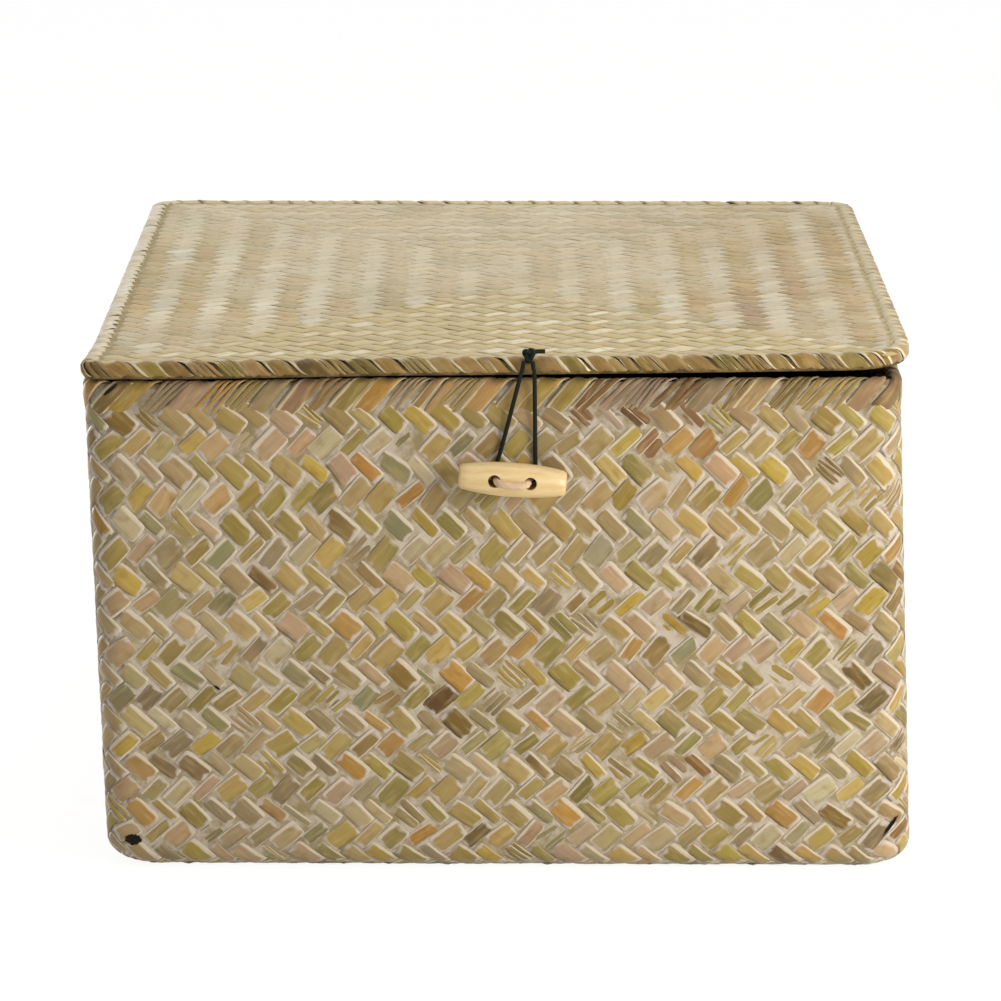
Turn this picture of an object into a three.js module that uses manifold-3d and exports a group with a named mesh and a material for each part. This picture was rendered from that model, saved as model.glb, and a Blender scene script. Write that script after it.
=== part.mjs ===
// A woven keepsake box with a hinged lid, a wooden toggle and an elastic loop.
// Millimetres, +Z up, front towards -Y, origin at the middle of the flat underside.

import * as THREE from 'three';
import { mergeVertices } from 'three/addons/utils/BufferGeometryUtils.js';
import Module from 'manifold-3d';

const wasm = await Module();
wasm.setup();

// Driving dimensions

const basketWidth = 296.5;
const basketDepth = 381;
const basketHeight = 183;
const basketCornerRadius = 11;
const foldRadius = 9;
const outerWall = 2.4;
const innerWall = 1.6;

const courseHeight = 9.3;
const courseRelief = 0.8;

const rimLeaf = 1.2;
const rimStand = 0.4;
const rimOuterDrop = 8;
const rimInnerDrop = 6;
const rimCaneDiameter = 2.6;

const lidSideOverhang = 1.75;
const lidEndOverhang = 2;
const lidThickness = 6.8;
const lidCornerRadius = 13;
const rollWidth = 7;
const rollRelief = 0.45;
const wrapPitch = 9.4;
const lidCaneDiameter = 2;
const topMat = 1.5;
const underMat = 1.3;

const toggleLength = 39;
const toggleDiameter = 12.5;
const toggleEndDiameter = 9.2;
const toggleEdge = 1;
const toggleAcross = 7.1;
const toggleDown = 36.3;
const toggleStandoff = 3;
const toggleTilt = THREE.MathUtils.degToRad(5);
const holeSpacing = 13;
const holeDiameter = 4.7;

const threadDiameter = 2.6;
const threadKnotDiameter = 5;
const loopDiameter = 1.7;
const knotAcross = 13.1;
const knotWidth = 4.6;
const knotHeight = 3.6;
const knotInset = 1.5;
const knotTail = 3.4;

const stitchDiameter = 1.2;
const stitchRingDiameter = 6.4;
const stitchPairSpacing = 6;
const stitchPairShares = [-0.365, 0, 0.365];

const clearance = 0.3;
const overrun = 5;

// How finely round shapes are faceted
const cornerSteps = 3;
const matCornerSteps = 2;
const foldSteps = 3;
const rollSides = 8;
const stitchSteps = 12;

// Places that follow from the sizes
const lidWidth = basketWidth + 2 * lidSideOverhang;
const lidDepth = basketDepth + 2 * lidEndOverhang;
const outerTop = basketHeight - rimLeaf - rimCaneDiameter - 2 * clearance;
const innerInset = outerWall + clearance;
const innerFace = innerInset + innerWall;
const innerFloor = outerWall + clearance + innerWall;
const leafInset = rimLeaf - rimStand;
const recessedInset = leafInset + clearance;
const caneInset = leafInset + clearance + rimCaneDiameter / 2;
const innerLeafInset = caneInset + rimCaneDiameter / 2 + clearance;
const lidBottom = basketHeight + clearance;
const lidTop = lidBottom + lidThickness;
const rollInset = rollWidth / 2;
const lidCaneInset = rollInset + clearance;
const lidCaneHeight = lidBottom + lidThickness / 2;
const matInset = lidCaneInset + lidCaneDiameter / 2 + clearance;
const matTop = lidTop - clearance;
const topMatBase = matTop - courseRelief - topMat;
const underMatBase = topMatBase - clearance - underMat;
const stitchPlaces = stitchPairShares.flatMap((share) => [-1, 1].map((side) => (
  share * basketWidth + side * stitchPairSpacing / 2
)));
const hingeY = lidDepth / 2;
const hingeZ = basketHeight + clearance / 2;
const wallFront = -basketDepth / 2;
const toggleY = wallFront - toggleStandoff - toggleDiameter / 2;
const toggleZ = basketHeight - toggleDown;

const basketFrame = { width: basketWidth, depth: basketDepth, radius: basketCornerRadius };
const lidFrame = { width: lidWidth, depth: lidDepth, radius: lidCornerRadius };

// Points round a rectangle with rounded corners, drawn in by inset, at height z.
function outline(frame, inset, z, steps = cornerSteps) {
  const radius = Math.max(frame.radius - inset, courseRelief);
  const acrossX = frame.width / 2 - inset - radius;
  const acrossY = frame.depth / 2 - inset - radius;
  const points = [];
  [[1, 1], [-1, 1], [-1, -1], [1, -1]].forEach(([sideX, sideY], corner) => {
    for (let step = 0; step <= steps; step += 1) {
      const turn = (corner + step / steps) * Math.PI / 2;
      const x = sideX * acrossX + radius * Math.cos(turn);
      const y = sideY * acrossY + radius * Math.sin(turn);
      points.push(new THREE.Vector3(x, y, z));
    }
  });
  return points;
}

// A closed body from points and triangles, with its faces turned outwards.
function closedBody(points, faces) {
  let volume = 0;
  for (const [a, b, c] of faces) {
    volume += points[a].dot(points[b].clone().cross(points[c]));
  }
  const turned = volume > 0 ? faces : faces.map(([a, b, c]) => [a, c, b]);
  const geometry = new THREE.BufferGeometry().setFromPoints(points);
  geometry.setIndex(turned.flat());
  geometry.computeVertexNormals();
  return geometry;
}

// Joins rings of points in order. A looped loft ends where it starts; any other is capped.
function loft(rings, looped) {
  const count = rings[0].length;
  const points = rings.flat();
  const faces = [];
  const joints = looped ? rings.length : rings.length - 1;
  for (let ring = 0; ring < joints; ring += 1) {
    const next = (ring + 1) % rings.length;
    for (let k = 0; k < count; k += 1) {
      const after = (k + 1) % count;
      const here = ring * count;
      const there = next * count;
      faces.push([here + k, here + after, there + after], [here + k, there + after, there + k]);
    }
  }
  if (!looped) {
    for (const [ring, first] of [[0, true], [rings.length - 1, false]]) {
      const centre = new THREE.Vector3();
      rings[ring].forEach((point) => centre.add(point));
      points.push(centre.divideScalar(count));
      for (let k = 0; k < count; k += 1) {
        const a = ring * count + k;
        const b = ring * count + (k + 1) % count;
        faces.push(first ? [b, a, points.length - 1] : [a, b, points.length - 1]);
      }
    }
  }
  return closedBody(points, faces);
}

// A band of any section, carried once round a frame. The section is [inset, z] pairs.
function band(frame, section, steps = cornerSteps) {
  return loft(section.map(([inset, z]) => outline(frame, inset, z, steps)), true);
}

function roundSection(inset, z, diameter) {
  const sides = rollSides;
  return Array.from({ length: sides }, (_, side) => {
    const turn = ((side + 1 / 2) / sides) * 2 * Math.PI;
    return [inset + diameter / 2 * Math.cos(turn), z + diameter / 2 * Math.sin(turn)];
  });
}

function toSolid(geometry) {
  const bare = geometry.clone();
  bare.deleteAttribute('normal');
  bare.deleteAttribute('uv');
  const merged = mergeVertices(bare);
  return new wasm.Manifold(new wasm.Mesh({
    numProp: 3,
    vertProperties: new Float32Array(merged.attributes.position.array),
    triVerts: new Uint32Array(merged.index.array),
  }));
}

function toGeometry(solid) {
  const mesh = solid.getMesh();
  const geometry = new THREE.BufferGeometry();
  geometry.setAttribute('position', new THREE.BufferAttribute(mesh.vertProperties, 3));
  geometry.setIndex(new THREE.BufferAttribute(mesh.triVerts, 1));
  geometry.computeVertexNormals();
  return geometry;
}

function cutFrom(geometry, cutters) {
  const left = cutters.reduce((solid, cutter) => solid.subtract(toSolid(cutter)), toSolid(geometry));
  return toGeometry(left);
}

function tube(points, diameter, steps) {
  const sides = 8;
  const section = new THREE.Shape(Array.from({ length: sides }, (_, side) => {
    const turn = side / sides * 2 * Math.PI;
    return new THREE.Vector2(Math.cos(turn), Math.sin(turn)).multiplyScalar(diameter / 2);
  }));
  const path = new THREE.CatmullRomCurve3(points, false, 'centripetal');
  return new THREE.ExtrudeGeometry(section, { steps, extrudePath: path, bevelEnabled: false });
}

function rodAlongY(x, z, diameter, from, to) {
  const rod = new THREE.CylinderGeometry(diameter / 2, diameter / 2, to - from, 12);
  return rod.translate(x, (from + to) / 2, z);
}

// A ring of thread round the hinge axis, or the tunnel that it runs in.
function stitchRing(x, diameter) {
  const ring = new THREE.TorusGeometry(stitchRingDiameter / 2, diameter / 2, stitchSteps / 2, stitchSteps);
  return ring.rotateY(Math.PI / 2).translate(x, hingeY, hingeZ);
}

const stitchTunnels = stitchPlaces.map((x) => stitchRing(x, stitchDiameter + 2 * clearance));

// The fold between floor and wall: a quarter turn of radius at a given inset and base height.
function foldProfile(inset, base, radius) {
  return Array.from({ length: foldSteps + 1 }, (_, step) => {
    const turn = step / foldSteps * Math.PI / 2;
    return [inset + radius * (1 - Math.sin(turn)), base + radius * (1 - Math.cos(turn))];
  });
}

// Plaited courses up a wall: each one swells out between two valleys.
function courseProfile(from, to) {
  const courses = Math.max(1, Math.round((to - from) / courseHeight));
  const rise = (to - from) / courses;
  const profile = [];
  for (let course = 0; course < courses; course += 1) {
    const foot = from + course * rise;
    profile.push([courseRelief, foot + rise / 6], [0, foot + rise / 2], [courseRelief, foot + rise * 5 / 6]);
  }
  return profile;
}

const threadHoles = [-1, 1].map((side) => ({
  x: toggleAcross + side * holeSpacing / 2 * Math.cos(toggleTilt),
  z: toggleZ - side * holeSpacing / 2 * Math.sin(toggleTilt),
}));

function threadCuts() {
  const diameter = threadDiameter + 2 * clearance;
  return threadHoles.map(({ x, z }) => rodAlongY(x, z, diameter, wallFront - overrun, wallFront + innerFace + overrun));
}

// The outer plaited layer: floor, folded foot, walls in courses, and a thinned top under the rim fold.
function outerBasket() {
  const rimFoot = basketHeight - rimOuterDrop - clearance;
  const profile = [
    ...foldProfile(0, 0, foldRadius),
    ...courseProfile(foldRadius, rimFoot),
    [recessedInset, rimFoot],
    [recessedInset, outerTop - clearance],
    [outerWall, outerTop - clearance],
    ...foldProfile(outerWall, outerWall, foldRadius - outerWall).reverse(),
  ];
  const shell = loft(profile.map(([inset, z]) => outline(basketFrame, inset, z)), false);
  return cutFrom(shell, threadCuts());
}

// The inner plaited layer, lining the outer one.
function innerBasket() {
  const rimFoot = basketHeight - rimInnerDrop - clearance;
  const recessedFace = innerLeafInset - clearance;
  const profile = [
    ...foldProfile(innerInset, innerInset, foldRadius - innerInset),
    [innerInset, outerTop - clearance],
    [recessedFace, outerTop - clearance],
    [recessedFace, rimFoot],
    [innerFace, rimFoot],
    ...foldProfile(innerFace, innerFloor, foldRadius - innerFace).reverse(),
  ];
  const shell = loft(profile.map(([inset, z]) => outline(basketFrame, inset, z)), false);
  return cutFrom(shell, threadCuts());
}

// Strips folded over the rim, outer leaf longer than the inner one, open below for both layers.
function rimFold() {
  const outside = -rimStand;
  const inside = innerLeafInset + rimLeaf;
  const outerFoot = basketHeight - rimOuterDrop;
  const innerFoot = basketHeight - rimInnerDrop;
  const crown = basketHeight - rimLeaf;
  const shoulder = rimLeaf / 3;
  const section = [
    [outside, outerFoot],
    [outside, crown],
    [outside + shoulder, basketHeight - shoulder],
    [outside + rimLeaf, basketHeight],
    [inside - rimLeaf, basketHeight],
    [inside - shoulder, basketHeight - shoulder],
    [inside, crown],
    [inside, innerFoot],
    [innerLeafInset, innerFoot],
    [innerLeafInset, crown],
    [leafInset, crown],
    [leafInset, outerFoot],
  ];
  return cutFrom(band(basketFrame, section), stitchTunnels);
}

function rimCane() {
  const height = basketHeight - rimLeaf - clearance - rimCaneDiameter / 2;
  return band(basketFrame, roundSection(caneInset, height, rimCaneDiameter));
}

// The lid's edge roll: flat strips wound slantwise round the rim, a crest in the middle of each
// and a valley where it meets the next. The mesh lines follow the slant of the strips.
function woundRoll() {
  const acrossX = lidWidth / 2 - rollInset;
  const acrossY = lidDepth / 2 - rollInset;
  const radius = lidCornerRadius - rollInset;
  const path = new THREE.Path();
  path.moveTo(-acrossX + radius, -acrossY);
  path.lineTo(acrossX - radius, -acrossY);
  path.absarc(acrossX - radius, -acrossY + radius, radius, -Math.PI / 2, 0);
  path.lineTo(acrossX, acrossY - radius);
  path.absarc(acrossX - radius, acrossY - radius, radius, 0, Math.PI / 2);
  path.lineTo(-acrossX + radius, acrossY);
  path.absarc(-acrossX + radius, acrossY - radius, radius, Math.PI / 2, Math.PI);
  path.lineTo(-acrossX, -acrossY + radius);
  path.absarc(-acrossX + radius, -acrossY + radius, radius, Math.PI, Math.PI * 3 / 2);

  const wraps = Math.round(path.getLength() / wrapPitch);
  const lines = 2 * wraps;
  const points = [];
  for (let line = 0; line < lines; line += 1) {
    const drawnIn = line % 2 === 0 ? 0 : rollRelief;
    for (let side = 0; side < rollSides; side += 1) {
      const along = (line / 2 - side / rollSides) / wraps;
      const place = (along + 1) % 1;
      const middle = path.getPointAt(place);
      const heading = path.getTangentAt(place);
      const turn = side / rollSides * 2 * Math.PI;
      const out = (rollWidth / 2 - drawnIn) * Math.cos(turn);
      const up = (lidThickness / 2 - drawnIn) * Math.sin(turn);
      points.push(new THREE.Vector3(
        middle.x + heading.y * out,
        middle.y - heading.x * out,
        lidCaneHeight + up,
      ));
    }
  }
  const vertex = (line, side) => {
    const shifted = side === rollSides ? line - 2 : line;
    return ((shifted + lines) % lines) * rollSides + side % rollSides;
  };
  const faces = [];
  for (let line = 0; line < lines; line += 1) {
    for (let side = 0; side < rollSides; side += 1) {
      const a = vertex(line, side);
      const b = vertex(line + 1, side);
      const c = vertex(line + 1, side + 1);
      const d = vertex(line, side + 1);
      faces.push([a, b, c], [a, c, d]);
    }
  }
  return closedBody(points, faces);
}

const knotStemHole = loopDiameter + 2 * clearance;
const knotPlace = new THREE.Vector3(
  knotAcross,
  -lidDepth / 2 + knotInset,
  lidTop - rollRelief + knotHeight / 2,
);

function stem(diameter) {
  const reach = lidThickness / 2;
  const rod = new THREE.CylinderGeometry(diameter / 2, diameter / 2, reach, 8);
  return rod.rotateX(Math.PI / 2).translate(knotPlace.x, knotPlace.y, knotPlace.z - reach / 2);
}

function lidBorder() {
  const seat = underMatBase - clearance;
  const rebateFrom = matInset - clearance;
  const rebate = [
    [rebateFrom, seat],
    [rollWidth + overrun, seat],
    [rollWidth + overrun, lidTop + overrun],
    [rebateFrom, lidTop + overrun],
  ];
  const channel = roundSection(lidCaneInset, lidCaneHeight, lidCaneDiameter + 2 * clearance);
  const opening = [
    [lidCaneInset, lidCaneHeight],
    [rebateFrom + clearance, lidCaneHeight],
    [rebateFrom + clearance, lidCaneHeight + lidCaneDiameter / 2],
    [lidCaneInset, lidCaneHeight + lidCaneDiameter / 2],
  ];
  return cutFrom(woundRoll(), [
    band(lidFrame, rebate),
    band(lidFrame, channel),
    band(lidFrame, opening),
    stem(knotStemHole),
    ...stitchTunnels,
  ]);
}

function lidCane() {
  return band(lidFrame, roundSection(lidCaneInset, lidCaneHeight, lidCaneDiameter));
}

// A lid mat whose plaited courses run round the middle and mitre at the corners.
function lidMat(base, thickness, relief) {
  const half = lidWidth / 2;
  const courses = Math.floor((half - rollWidth) / courseHeight);
  const top = base + thickness;
  const rings = [base, top].map((z) => outline(lidFrame, matInset, z, matCornerSteps));
  for (let course = 0; relief > 0 && course < courses; course += 1) {
    const start = rollWidth + course * courseHeight;
    rings.push(outline(lidFrame, start, top, matCornerSteps));
    rings.push(outline(lidFrame, start + courseHeight / 2, top + relief, matCornerSteps));
  }
  return loft(rings, false);
}

// The wooden toggle, turned about its own length, with two holes for the thread.
function toggleBarrel() {
  const half = toggleLength / 2;
  const bulgeSteps = 6;
  const profile = [new THREE.Vector2(0, -half), new THREE.Vector2(toggleEndDiameter / 2 - toggleEdge, -half)];
  for (let step = 0; step <= bulgeSteps; step += 1) {
    const share = -1 + 2 * step / bulgeSteps;
    const radius = toggleDiameter / 2 - (toggleDiameter - toggleEndDiameter) / 2 * share * share;
    profile.push(new THREE.Vector2(radius, share * (half - toggleEdge)));
  }
  profile.push(new THREE.Vector2(toggleEndDiameter / 2 - toggleEdge, half), new THREE.Vector2(0, half));
  const barrel = new THREE.LatheGeometry(profile, 16).rotateZ(-Math.PI / 2);
  const reach = toggleDiameter / 2 + overrun;
  return cutFrom(barrel, [-1, 1].map((side) => rodAlongY(side * holeSpacing / 2, 0, holeDiameter, -reach, reach)));
}

// The pale thread: from its knot inside, out through the wall and one hole, across the toggle's
// face, and back in through the other hole.
function toggleThread() {
  const radius = threadDiameter / 2;
  const inside = wallFront + innerFace + clearance + radius;
  const face = toggleY - toggleDiameter / 2 - clearance - radius;
  const bend = threadDiameter * 2 / 3;
  const [left, right] = threadHoles;
  const at = (hole, dx, y) => new THREE.Vector3(hole.x + dx, y, hole.z);
  const knotEdge = threadKnotDiameter / 2 + clearance;
  const middle = toggleAcross;
  return tube([
    new THREE.Vector3(middle - knotEdge, inside, toggleZ),
    at(left, bend, inside),
    at(left, 0, inside - bend),
    at(left, 0, wallFront),
    at(left, 0, toggleY),
    at(left, 0, face + bend),
    at(left, bend, face),
    at(right, -bend, face),
    at(right, 0, face + bend),
    at(right, 0, toggleY),
    at(right, 0, wallFront),
    at(right, 0, inside - bend),
    at(right, -bend, inside),
    new THREE.Vector3(middle + knotEdge, inside, toggleZ),
  ], threadDiameter, 48);
}

function threadKnot() {
  const radius = threadKnotDiameter / 2;
  const knot = new THREE.SphereGeometry(radius, 10, 6);
  return knot.translate(toggleAcross, wallFront + innerFace + clearance + radius, toggleZ);
}

// The knot that ends the elastic loop on the lid's edge, with its short tail and sunk stem.
function loopKnot() {
  const knot = new THREE.SphereGeometry(1 / 2, 12, 8).scale(knotWidth, knotWidth, knotHeight);
  knot.translate(knotPlace.x, knotPlace.y, knotPlace.z);
  const tail = tube([
    new THREE.Vector3(knotPlace.x, knotPlace.y, knotPlace.z),
    new THREE.Vector3(knotPlace.x + knotWidth / 2 + knotTail / 2, knotPlace.y, knotPlace.z),
    new THREE.Vector3(knotPlace.x + knotWidth / 2 + knotTail, knotPlace.y, knotPlace.z - clearance),
  ], loopDiameter, 4);
  return toGeometry([tail, stem(loopDiameter)].reduce((solid, piece) => solid.add(toSolid(piece)), toSolid(knot)));
}

// The elastic loop: down the lid's edge, behind the toggle, under both threads and up again.
function closureLoop() {
  const radius = loopDiameter / 2;
  const edge = -lidDepth / 2 - clearance - radius;
  const wall = wallFront - clearance - radius;
  const behind = wallFront - toggleStandoff / 2;
  const start = knotPlace.y - knotWidth / 2 - clearance - radius;
  const out = threadDiameter / 2 + clearance + radius;
  const [left, right] = threadHoles;
  const spread = loopDiameter * 2 / 3;
  const legTop = toggleZ + toggleDiameter / 2;
  return tube([
    new THREE.Vector3(knotPlace.x - spread, start, knotPlace.z - radius),
    new THREE.Vector3(knotPlace.x - 2 * spread, edge, lidCaneHeight),
    new THREE.Vector3(knotPlace.x - 3 * spread, edge, lidBottom - rimLeaf),
    new THREE.Vector3(left.x + loopDiameter / 2, wall, legTop),
    new THREE.Vector3(left.x - out, behind, left.z),
    new THREE.Vector3(left.x, behind, left.z - out),
    new THREE.Vector3(right.x, behind, right.z - out),
    new THREE.Vector3(right.x + out, behind, right.z),
    new THREE.Vector3(right.x + out, wall, legTop),
    new THREE.Vector3(knotPlace.x + spread * 3 / 2, edge, lidBottom - rimLeaf),
    new THREE.Vector3(knotPlace.x + spread, edge, lidCaneHeight),
    new THREE.Vector3(knotPlace.x + spread, start, knotPlace.z - radius),
  ], loopDiameter, 60);
}

const box = new THREE.Group();

function add(name, geometry, color, roughness, parent = box) {
  const material = new THREE.MeshStandardMaterial({ color, roughness, metalness: 0, flatShading: true });
  const mesh = new THREE.Mesh(geometry, material);
  mesh.name = name;
  parent.add(mesh);
  return mesh;
}

const basket = new THREE.Group();
const lid = new THREE.Group();
box.add(basket, lid);

add('outer_basket', outerBasket(), 0xb39a6a, 0.75, basket);
add('inner_basket', innerBasket(), 0xc0a878, 0.78, basket);
add('rim_fold', rimFold(), 0xa98c5c, 0.75, basket);
add('rim_cane', rimCane(), 0xcbb382, 0.6, basket);
add('toggle_thread', toggleThread(), 0xe6d2b8, 0.8, basket);
add('thread_knot', threadKnot(), 0xe2ccb0, 0.8, basket);
stitchPlaces.forEach((x, index) => {
  add(`hinge_stitch_${index + 1}`, stitchRing(x, stitchDiameter), 0xd9c7a4, 0.8, basket);
});

add('lid_border', lidBorder(), 0xb08f5f, 0.75, lid);
add('lid_cane', lidCane(), 0xcbb382, 0.6, lid);
add('lid_top_mat', lidMat(topMatBase, topMat, courseRelief), 0xcfc096, 0.75, lid);
add('lid_under_mat', lidMat(underMatBase, underMat, 0), 0xbfa878, 0.78, lid);
add('loop_knot', loopKnot(), 0x20221e, 0.7, lid);
add('closure_loop', closureLoop(), 0x1c1f1b, 0.65, lid);

const toggle = add('toggle', toggleBarrel(), 0xe3c27a, 0.45);
toggle.position.set(toggleAcross, toggleY, toggleZ);
toggle.rotation.y = toggleTilt;

export default box;
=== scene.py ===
import math

import bpy
import numpy as np
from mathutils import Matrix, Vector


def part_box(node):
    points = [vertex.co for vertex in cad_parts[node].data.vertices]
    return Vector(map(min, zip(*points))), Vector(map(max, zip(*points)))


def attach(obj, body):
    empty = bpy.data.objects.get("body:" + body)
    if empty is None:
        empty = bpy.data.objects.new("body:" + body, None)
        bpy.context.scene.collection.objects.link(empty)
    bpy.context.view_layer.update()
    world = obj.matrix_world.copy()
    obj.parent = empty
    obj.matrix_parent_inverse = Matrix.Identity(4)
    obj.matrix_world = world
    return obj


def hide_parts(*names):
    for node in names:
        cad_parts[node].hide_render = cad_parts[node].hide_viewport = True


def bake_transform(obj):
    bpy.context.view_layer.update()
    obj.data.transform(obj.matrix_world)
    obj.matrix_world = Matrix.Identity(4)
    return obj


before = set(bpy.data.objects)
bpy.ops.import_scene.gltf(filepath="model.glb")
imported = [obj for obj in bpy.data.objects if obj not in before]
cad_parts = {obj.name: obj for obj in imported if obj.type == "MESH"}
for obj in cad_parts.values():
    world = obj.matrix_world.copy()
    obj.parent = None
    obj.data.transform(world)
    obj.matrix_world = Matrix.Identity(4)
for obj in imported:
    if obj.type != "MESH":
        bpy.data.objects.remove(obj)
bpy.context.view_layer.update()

# Camera
# The photograph was taken from about two metres away with a long lens, a little above the box
# and a little right of its middle, looking slightly down.

bpy.ops.object.camera_add(
    location=(0.0236, -2.107, 0.5463),
    rotation=(math.radians(90 - 11.993), 0, math.radians(0.605)),
)
camera = bpy.context.object
camera.data.sensor_width = 36
camera.data.lens = 194.1
camera.data.clip_end = 20
bpy.context.scene.camera = camera

# Light and floor
# Soft daylight from all round, a broad lamp above, a warmer one at the right and a small one
# behind, over a floor that runs off into white and keeps a faint shadow.


class Value:
    """A shader socket that can stand in a sum."""

    def __init__(self, finish, socket):
        self.finish = finish
        self.socket = socket

    def math(self, operation, other, swapped=False):
        pair = (other, self) if swapped else (self, other)
        return self.finish.node("Math", {"operation": operation}, dict(enumerate(pair)))

    def __add__(self, other):
        return self.math("ADD", other)

    __radd__ = __add__

    def __sub__(self, other):
        return self.math("SUBTRACT", other)

    def __rsub__(self, other):
        return self.math("SUBTRACT", other, True)

    def __mul__(self, other):
        return self.math("MULTIPLY", other)

    def size(self):
        return self.math("ABSOLUTE", 0)


class Finish:
    """A material, or a room's light, whose nodes are all made by one method."""

    def __init__(self, name, room=None, **plain):
        self.made = room or bpy.data.materials.new(name)
        self.made.use_nodes = True
        self.tree = self.made.node_tree
        self.shader = self.tree.nodes.get("Principled BSDF")
        self.give(**plain)

    def fill(self, socket, value):
        if isinstance(value, str):
            value = srgb(value)
        if isinstance(value, Value):
            self.tree.links.new(value.socket, socket)
        elif isinstance(value, tuple) and socket.type == "RGBA":
            socket.default_value = (*value, 1)
        else:
            socket.default_value = value

    def node(self, kind, settings=None, inputs=None, output=0):
        made = self.tree.nodes.new("ShaderNode" + kind)
        for setting, value in (settings or {}).items():
            setattr(made, setting, value)
        for socket, value in (inputs or {}).items():
            self.fill(made.inputs[socket], value)
        return Value(self, made.outputs[output])

    def mix(self, share, one, other):
        return self.node("Mix", {"data_type": "RGBA"}, {0: share, 6: one, 7: other}, 2)

    def step(self, value, low, high):
        return self.node(
            "MapRange",
            {"interpolation_type": "SMOOTHSTEP"},
            {"Value": value, "From Min": low, "From Max": high},
        )

    def where(self, scale, layer=None):
        """The piece's own coordinates, or its named UV layer, scaled."""
        if layer:
            found = self.node("UVMap", {"uv_map": layer})
        else:
            found = self.node("TexCoord", output="Object")
        return self.node("Mapping", None, {"Vector": found, "Scale": scale})

    def noise(self, where, detail=3, roughness=0.5):
        inputs = {"Vector": where, "Scale": 1, "Detail": detail, "Roughness": roughness}
        return self.node("TexNoise", None, inputs)

    def bump(self, height, strength, distance):
        inputs = {"Strength": strength, "Distance": distance, "Height": height}
        self.give(Normal=self.node("Bump", None, inputs))

    def give(self, **links):
        for socket, value in links.items():
            self.fill(self.shader.inputs[socket.replace("_", " ")], value)
        return self.made


def srgb(code):
    """The linear colour of a written one, such as 'c8a06a'."""
    parts = [int(code[at:at + 2], 16) / 255 for at in (0, 2, 4)]
    return tuple(p / 12.92 if p <= 0.04045 else ((p + 0.055) / 1.055) ** 2.4 for p in parts)


def background_rays(finish):
    """One for what the camera sees, directly, in metal or through glass."""
    kinds = ("Camera", "Glossy", "Transmission")
    seen, mirrored, through = (finish.node("LightPath", output=f"Is {kind} Ray") for kind in kinds)
    return (seen + mirrored + through).math("MINIMUM", 1)


def lamp(name, place, aim, size, power, colour):
    bpy.ops.object.light_add(type="AREA", location=place)
    made = bpy.context.object
    made.name = name
    made.data.size = size
    made.data.energy = power
    made.data.color = colour
    away = made.location - type(made.location)(aim)
    made.rotation_euler = away.to_track_quat("Z", "Y").to_euler()


lamp("top_lamp", (0.1, 0.25, 1.9), (0, 0, 0.15), 1.4, 14.2, (1, 0.98, 0.93))
lamp("right_lamp", (0.6, -0.64, 0.32), (0.14, -0.19, 0.1), 0.4, 5, (1, 0.95, 0.86))
lamp("back_lamp", (-0.8, 0.85, 0.12), (-0.08, 0.1, 0.1), 0.2, 5.5, (1, 0.98, 0.94))

bpy.context.scene.view_settings.view_transform = "Standard"
world = bpy.data.worlds.new("white_room")
bpy.context.scene.world = world
room = Finish("white_room", world)
daylight_strength = 0.485
daylight = room.node("Background", None, {"Color": (1.0, 0.985, 0.98), "Strength": daylight_strength})
seen_white = room.node("Background", None, {"Color": (1.0, 1.0, 1.0)})
room_light = room.node("MixShader", None, {0: background_rays(room), 1: daylight, 2: seen_white})
room.fill(world.node_tree.nodes["World Output"].inputs["Surface"], room_light)

bpy.ops.object.select_all(action="DESELECT")
bpy.ops.mesh.primitive_grid_add(x_subdivisions=4, y_subdivisions=4, size=14, location=(0, 0, 0))
floor = bpy.context.object
floor.name = "floor"
floor_glow = 0.86
glow_strength = 1.07
pale_floor = Finish("pale_floor", Roughness=0.9)
cloud = pale_floor.noise(pale_floor.where((3, 3, 3)))
pale_floor.give(Base_Color=pale_floor.mix(cloud, "f2f2f0", "f6f6f4"))
glow_share = background_rays(pale_floor) * floor_glow
own_light = Value(pale_floor, pale_floor.shader.outputs[0])
glow = pale_floor.node("Emission", None, {"Color": (1.0, 1.0, 1.0), "Strength": glow_strength})
floor_mix = pale_floor.node("MixShader", None, {0: glow_share, 1: own_light, 2: glow})
pale_floor.fill(pale_floor.tree.nodes["Material Output"].inputs["Surface"], floor_mix)
floor.data.materials.append(pale_floor.made)

# Outer layer of the basket: the ground of its walls and floor
# The strips lie so close that only slits of the layer's dusty underside show between them. This
# shell is that underside: it fills the outer layer's thickness and carries the strips.

MM = 0.001
basket_low, basket_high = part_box("outer_basket")
basket_wide = basket_high.x - basket_low.x
basket_deep = basket_high.y - basket_low.y
basket_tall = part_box("rim_fold")[1].z
corner_round = 11 * MM
corner_steps = 24
foot_round = 9 * MM
foot_lift = 0.45 * MM
floor_gap = 0.05 * MM
lean_at_foot = 6.3 * MM
corner_lift = 6.5 * MM
corner_reach = 16 * MM
corner_tall = 32 * MM
rim_swell = 1.3 * MM
swell_span = -110 * MM, -40 * MM
right_swell = 0.5 * MM
right_span = 60 * MM, 120 * MM
layer_thick = 2.4 * MM


def marks_along(points):
    """How far along a route each of its points lies."""
    gaps = np.linalg.norm(np.diff(points, axis=0), axis=1)
    return np.concatenate([[0], np.cumsum(gaps)])


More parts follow.
